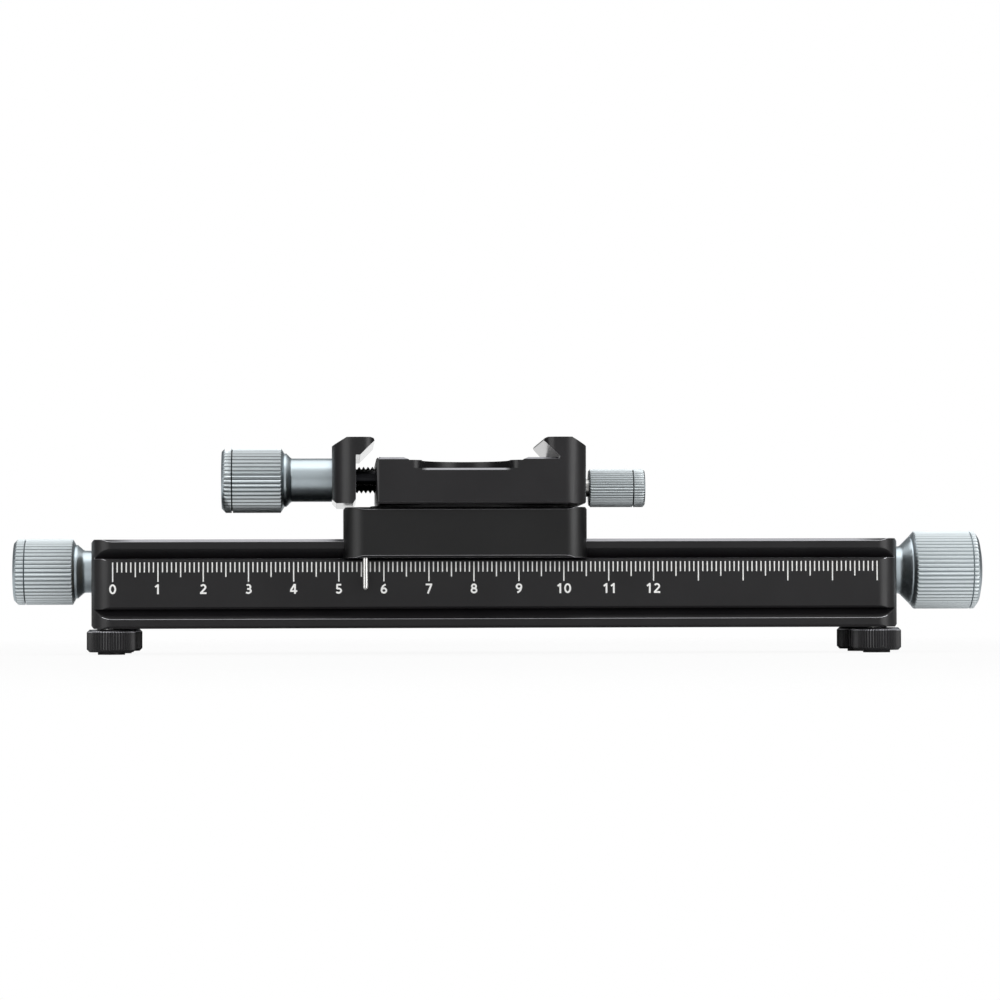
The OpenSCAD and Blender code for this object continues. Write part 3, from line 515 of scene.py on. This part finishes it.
def add_number(build, text, x):
    """Adds one printed number, centred at x by its outline, or by its stem if it is a single 1."""
    strokes = [
        [(place * digit_step + across, up) for across, up in stroke]
        for place, digit in enumerate(text) for stroke in digits[digit]
    ]
    columns = [across for stroke in strokes for across, up in stroke]
    centre = 0.0 if text == "1" else (min(columns) + max(columns)) / 2
    for level, stroke in enumerate(strokes):
        # Strokes that cross lie at slightly different heights, so that no two faces coincide
        front_y = face_y - ink_height * (1 + level / 10)
        placed = [
            (x + (across - centre) * number_height, number_foot + up * number_height)
            for across, up in stroke
        ]
        add_stroke(build, placed, front_y)


build = bmesh.new()
for step in range(scale_lines):
    x = scale_start + step * MM
    foot = next(line_feet[every] for every in (10, 5, 1) if step % every == 0)
    low = (x - line_width / 2, face_y - ink_height, foot)
    high = (x + line_width / 2, face_y, line_top)
    add_block(build, low, high)
for number in range(last_number + 1):
    add_number(build, str(number), scale_start + number * 10 * MM)
bmesh.ops.recalc_face_normals(build, faces=build.faces)
scale_mesh = bpy.data.meshes.new("scale_marks")
build.to_mesh(scale_mesh)
build.free()
scale_mesh.materials.append(white_ink())
scale_marks = bpy.data.objects.new("scale_marks", scale_mesh)
scene.collection.objects.link(scale_marks)
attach(scale_marks, "rail")

# The knobs are turned from aluminium bar, straight-knurled and clear anodised with a cool grey tint.
# The lathe leaves fine rings on the necks and end faces, which give the shine its soft streaks.
# Each knob is held on its screw by a small set screw in the knurl.


# How fast the lathe's rings follow each other along the axis, against 1 outwards from it
ring_slope = 0.83
# A face is a rib's flank, not an end face or a chamfer, if its normal's X part is below this
flank_tilt = 0.4
root_margin = 0.06 * MM


def clear_anodised(name, axis_z, crest, root, root_shade_colour, knurl_shine):
    """Clear anodised aluminium, turned about a line along X at the height axis_z.

    The knurl runs from the radius root to crest. It is raw from the wheel, so it is more matt than the
    turned faces, and its roots are painted darker, as painted shade in the grooves. knurl_shine is how
    far the ribs shine as bare metal does.
    """
    material, tree, place = new_material("clear anodised aluminium, turned, " + name)
    from_axis = split(tree, reckon_vector(tree, "SUBTRACT", place["Object"], (0, 0, axis_z)))
    across = add_node(tree, "ShaderNodeCombineXYZ", {"Y": from_axis["Y"], "Z": from_axis["Z"]})
    radius = reckon_vector(tree, "LENGTH", across.outputs[0])
    # Distance along X and from the axis, added up, so that both the necks and the end faces have rings
    along = reckon(tree, "MULTIPLY_ADD", from_axis["X"], ring_slope, radius)
    feed_mm = 0.16
    lines = add_node(tree, "ShaderNodeTexNoise", {
        "W": along, "Scale": 1 / (feed_mm * MM), "Detail": 2.0}, noise_dimensions="1D").outputs["Fac"]
    grain = noise(tree, place, size_mm=0.25, detail=2)
    cloud = noise(tree, place, size_mm=9, detail=2)
    tint = mix(tree, cloud, linear("#BECAD0"), linear("#CAD5DA"))
    # The knurl's roots are painted darker up to half their depth, as painted shade in the grooves
    shadow = stretch(tree, radius, root, (root + crest) / 2, 1.0, 0.0)
    on_knurl = reckon(tree, "GREATER_THAN", radius, root - root_margin)
    tilt = reckon(tree, "ABSOLUTE", split(tree, place["Normal"])["X"])
    flank = reckon(tree, "MULTIPLY", on_knurl, reckon(tree, "LESS_THAN", tilt, flank_tilt))
    painted_groove_shade = reckon(tree, "MULTIPLY", shadow, flank)
    matt = mix(tree, flank, tint, linear("#E0E8EB"))
    rings = bump(tree, lines, strength=0.25, depth_mm=0.005)
    pores = bump(tree, grain, strength=0.5, depth_mm=0.008, inputs={"Normal": rings})
    surface(tree, {
        "Base Color": mix(tree, painted_groove_shade, matt, linear(root_shade_colour)),
        "Metallic": stretch(tree, flank, 0.0, 1.0, 1.0, knurl_shine),
        "Roughness": stretch(tree, lines, *noise_range, 0.32, 0.40), "Normal": pores})
    return material


coarse_rib = 0.42 * MM
fine_rib = 0.26 * MM
# Knob, depth of its ribs, colour of the painted shade in their roots, and how far they shine
for knob, rib, root_shade_colour, knurl_shine in (
        ("left_knob", coarse_rib, "#4C5559", 0.3),
        ("right_knob", coarse_rib, "#7C868A", 0.3),
        ("clamp_knob", coarse_rib, "#15191B", 0.85),
        ("pan_lock_knob", fine_rib, "#2A3033", 0.4)):
    knob_low, knob_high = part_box(knob)
    knob_z = (knob_low.z + knob_high.z) / 2
    crest = (knob_high.y - knob_low.y) / 2
    finish = clear_anodised(knob.replace("_", " "), knob_z, crest, crest - rib, root_shade_colour, knurl_shine)
    finish_node(knob, finish, edge_mm=0.04, segments=1)

# The screws and pins are steel with a black oxide, a thin dark skin that keeps a metal shine.
# The lead screw and the clamp screw are rolled, so their crests are smooth and a little bright.
# They turn in the rail's bushes and in the clamp body.


def plain_metal(name, dark, light, rough, blotch_mm):
    """A machined metal whose colour and shine drift a little over the surface."""
    material, tree, place = new_material(name)
    drift = noise(tree, place, size_mm=blotch_mm, detail=3)
    scratch = noise(tree, place, size_mm=0.12, detail=1)
    surface(tree, {
        "Base Color": mix(tree, drift, linear(dark), linear(light)), "Metallic": 1.0,
        "Roughness": stretch(tree, drift, *noise_range, rough - 0.05, rough + 0.05),
        "Normal": bump(tree, scratch, strength=0.3, depth_mm=0.004)})
    return material


black_steel = plain_metal("black oxide steel", "#232326", "#303033", 0.32, 3)
stainless = plain_metal("stainless steel, turned", "#B9B8B6", "#CFCECC", 0.24, 4)
bronze = plain_metal("bearing bronze, machined", "#9C7A4B", "#B5925E", 0.34, 4)
oiled_bronze = plain_metal("sintered bronze, dark with oil", "#51432F", "#62533C", 0.42, 4)


def threaded_rod(name, start, axis, length, diameter, pitch, material, body, stands_for=(), plain=()):
    """A rod with a rolled right-hand thread, cut square at both ends, with plain stretches beside it.

    plain holds (from, to, diameter) along the axis, in metres from start.
    """
    # Share of one pitch, and depth as a share of the whole, of a 60 degree thread
    profile = ((0.0, 1.0), (0.167, 1.0), (0.521, 0.0), (0.646, 0.0))
    crest = diameter / 2
    depth = 0.54 * pitch
    around = 32
    turns = math.ceil(length / pitch) + 2
    count = turns * around
    build = bmesh.new()
    rows = []
    for i in range(count + around + 1):
        angle = 2 * math.pi * i / around
        row = []
        for share, sunk in profile:
            along = pitch * (i / around + share - 2)
            # Both ends are chamfered at 45 degrees, down to the root of the thread
            chamfer = crest - depth + max(0.0, min(along, length - along))
            r = min(crest - depth * sunk, chamfer)
            row.append(build.verts.new((r * math.cos(angle), r * math.sin(angle), along)))
        rows.append(row)
    for i in range(count):
        for k in range(len(profile)):
            last = k == len(profile) - 1
            after, after_next = (rows[i + around][0], rows[i + around + 1][0]) if last else (
                rows[i][k + 1], rows[i + 1][k + 1])
            build.faces.new((rows[i][k], rows[i + 1][k], after_next, after))
    for at, outward in ((0.0, -1), (length, 1)):
        everything = build.verts[:] + build.edges[:] + build.faces[:]
        cut = bmesh.ops.bisect_plane(
            build, geom=everything, plane_co=(0, 0, at), plane_no=(0, 0, outward), clear_outer=True)
        rim = [e for e in cut["geom_cut"] if isinstance(e, bmesh.types.BMEdge)]
        bmesh.ops.contextual_create(build, geom=rim)
    loose = [v for v in build.verts if not v.link_faces]
    bmesh.ops.delete(build, geom=loose, context="VERTS")
    for start_at, end_at, plain_diameter in plain:
        middle_at = (start_at + end_at) / 2
        bmesh.ops.create_cone(
            build, cap_ends=True, segments=48, radius1=plain_diameter / 2, radius2=plain_diameter / 2,
            depth=end_at - start_at, matrix=Matrix.Translation((0, 0, middle_at)))
    bmesh.ops.recalc_face_normals(build, faces=build.faces)
    turn = Vector((0, 0, 1)).rotation_difference(Vector(axis)).to_matrix().to_4x4()
    build.transform(Matrix.Translation(start) @ turn)
    mesh = bpy.data.meshes.new(name)
    build.to_mesh(mesh)
    build.free()
    mesh.materials.append(material)
    piece = bpy.data.objects.new(name, mesh)
    scene.collection.objects.link(piece)
    shading = piece.modifiers.new("shading", "NODES")
    shading.node_group = crisp_shading
    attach(piece, body)
    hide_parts(*stands_for)


lead_low, lead_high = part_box("lead_screw")
lead_z = (lead_low.z + lead_high.z) / 2
lead_d = lead_high.z - lead_low.z
lead_pitch = 1.25 * MM
journal_d = 6 * MM
overlap = 0.2 * MM
end_play = 0.05 * MM
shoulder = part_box("right_thrust_washer")[0].x - end_play
threaded_rod(
    "lead_screw_thread", (-shoulder, 0, lead_z), (1, 0, 0), 2 * shoulder, lead_d, lead_pitch,
    black_steel, "drive_screw", ["lead_screw"],
    plain=((lead_low.x + shoulder, overlap, journal_d),
           (2 * shoulder - overlap, shoulder + lead_high.x, journal_d)))
finish_node("rail_knob_set_screws", black_steel)
for side in ("left", "right"):
    finish_node(side + "_bush", oiled_bronze, edge_mm=0.1)
    finish_node(side + "_thrust_washer", stainless, edge_mm=0.1)

# The stage is milled from aluminium and black anodised like the bar that it slides on.
# A bronze nut screwed up into it takes the lead screw, and a bronze gib behind the bar sets its play.
# A bright steel pin pressed into its underside points at the scale.
stage_low, stage_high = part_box("stage_body")
# The stage's black is painted darker than the bar's, as painted shade
stage_finish = black_anodised("stage", "#0A0A0B", "#0F0F10")
margin = 1 * MM
every_height = [(stage_low.z - margin, stage_high.z + margin)]
finish_node("stage_body", stage_finish, edge_mm=0.24, edge_material=worn_edge(
    "stage", "#0C0C0D", "#B4B4B8", "#CCCCD0", every_height))
finish_node("drive_nut", bronze, edge_mm=0.1)
finish_node("gib_strip", bronze, edge_mm=0.1)
for name in ("nut_screws", "gib_set_screws", "spindle_screws"):
    finish_node(name, black_steel)
finish_node("index_pin", stainless)

# The clamp turns on a stainless spindle that is screwed to the stage, over a black low-friction washer.
# Its body and its moving jaw are milled and black anodised, with 45 degree lips for a dovetail plate.
# Two black guide pins in the jaw keep it square while the screw draws it in.


def acetal(name, dark, light, ior):
    """A turned engineering plastic, matt, with a faint drift of shade."""
    material, tree, place = new_material(name)
    cloud = noise(tree, place, size_mm=2, detail=3)
    surface(tree, {
        "Base Color": mix(tree, cloud, linear(dark), linear(light)), "Roughness": 0.5, "IOR": ior,
        "Normal": bump(tree, cloud, strength=0.3, depth_mm=0.01)})
    return material


black_acetal = acetal("black acetal", "#151517", "#202022", 1.48)
finish_node("pan_spindle", stainless, edge_mm=0.1)
finish_node("pan_washer", black_acetal)
# The outer edges of the shallow recesses in the clamp's floor, front and rear, are chamfered at 45 degrees
recess_low = Vector((-16.62, 26.06, 34.86)) * MM
recess_high = Vector((2.82, 26.54, 35.33)) * MM
recess_fade = 1.2 * MM
lips_from = 37 * MM
# The clamp's black is painted a little lighter than the bar's, as painted light
clamp_finish = black_anodised(
    "clamp", "#171618", "#1E1D1F", (recess_low, recess_high, recess_fade), smooth_above=lips_from)
clamp_low, clamp_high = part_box("clamp_body")
clamp_edge = worn_edge("clamp", "#171618", "#7C7C80", "#9A9A9E", [(clamp_low.z, clamp_high.z)])
clamp_body = finish_node("clamp_body", clamp_finish, edge_mm=0.2, edge_material=clamp_edge)

# The rim of the land that the plate sits on has a wider chamfer than the other edges
land_z = 37.7 * MM
land_corner = 0.81 * MM
rim_chamfer = 0.5 * MM
same_height = 0.01 * MM
rim_group = clamp_body.vertex_groups.new(name="rim of the land")
rim_group.add([
    v.index for v in clamp_body.data.vertices
    if abs(v.co.z - land_z) < same_height
    and (abs(v.co.y) > clamp_high.y - land_corner or v.co.x < clamp_low.x + land_corner)], 1.0, "REPLACE")
rim = clamp_body.modifiers.new("rim_chamfer", "BEVEL")
rim.width = rim_chamfer
rim.segments = 1
rim.limit_method = "VGROUP"
rim.vertex_group = rim_group.name
rim.use_clamp_overlap = False
rim.material = 1
order = [modifier.name for modifier in clamp_body.modifiers]
clamp_body.modifiers.move(order.index("rim_chamfer"), order.index("broken_edges"))
finish_node("pan_retaining_screw", black_steel)
jaw_finish = black_anodised("moving jaw", "#121113", "#19181A", smooth_above=0.0)
finish_node("moving_jaw", jaw_finish, edge_mm=0.12, edge_material=clamp_edge)
finish_node("guide_pins", black_steel, edge_mm=0.1)
finish_node("clamp_knob_set_screw", black_steel)
finish_node("jaw_retaining_ring", stainless)

# The screw is plain as far as the retaining ring, which sits in its groove, and threaded from there
screw_low, screw_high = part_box("clamp_screw")
screw_z = (screw_low.z + screw_high.z) / 2
screw_d = screw_high.z - screw_low.z
screw_pitch = 1.0 * MM
groove_width = 1.2 * MM
groove_depth = 0.5 * MM
overlap = 0.1 * MM
run_in = 0.3 * MM
thread_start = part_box("jaw_retaining_ring")[1].x + run_in
threaded_rod(
    "clamp_screw_thread", (thread_start, 0, screw_z), (1, 0, 0), screw_high.x - thread_start,
    screw_d, screw_pitch, black_steel, "clamp_drive", ["clamp_screw"],
    plain=((screw_low.x - thread_start, -groove_width, screw_d),
           (-groove_width - overlap, overlap, screw_d - 2 * groove_depth)))

# The pan lock is a small knurled knob on a stainless stud, with a bronze shoe at the inner end.
# The stud runs in the clamp's body, and the shoe presses into a groove in the spindle.
finish_node("pan_lock_shoe", bronze)
finish_node("pan_lock_stud", stainless)

# The feet are knurled black discs on steel studs, screwed up under the four corners of the bar.
# Each turns on a small round pad of black acetal that stands on the table.
# The upper chamfer of each disc was cut after blasting.
disc_low, disc_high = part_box("front_left_foot_disc")
disc_chamfer = 0.66 * MM
disc_fade = 0.1 * MM
chamfer_low = Vector((disc_low.x, 0, disc_high.z - disc_chamfer))
chamfer_high = Vector((-disc_low.x, -disc_low.y, disc_high.z + same_height))
foot_finish = black_anodised("feet", "#151517", "#1E1D20", (chamfer_low, chamfer_high, disc_fade))
stud_pitch = 0.8 * MM
for corner in ("front_left", "front_right", "rear_left", "rear_right"):
    finish_node(corner + "_foot_disc", foot_finish, edge_mm=0.03, segments=1)
    finish_node(corner + "_foot_pad", black_acetal)
    stud_low, stud_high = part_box(corner + "_foot_stud")
    stud_middle = (stud_low + stud_high) / 2
    stud_length = stud_high.z - stud_low.z
    stud_d = stud_high.x - stud_low.x
    threaded_rod(
        corner + "_foot_thread", (stud_middle.x, stud_middle.y, stud_low.z), (0, 0, 1), stud_length,
        stud_d, stud_pitch, stainless, corner + "_foot", [corner + "_foot_stud"])

low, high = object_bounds()
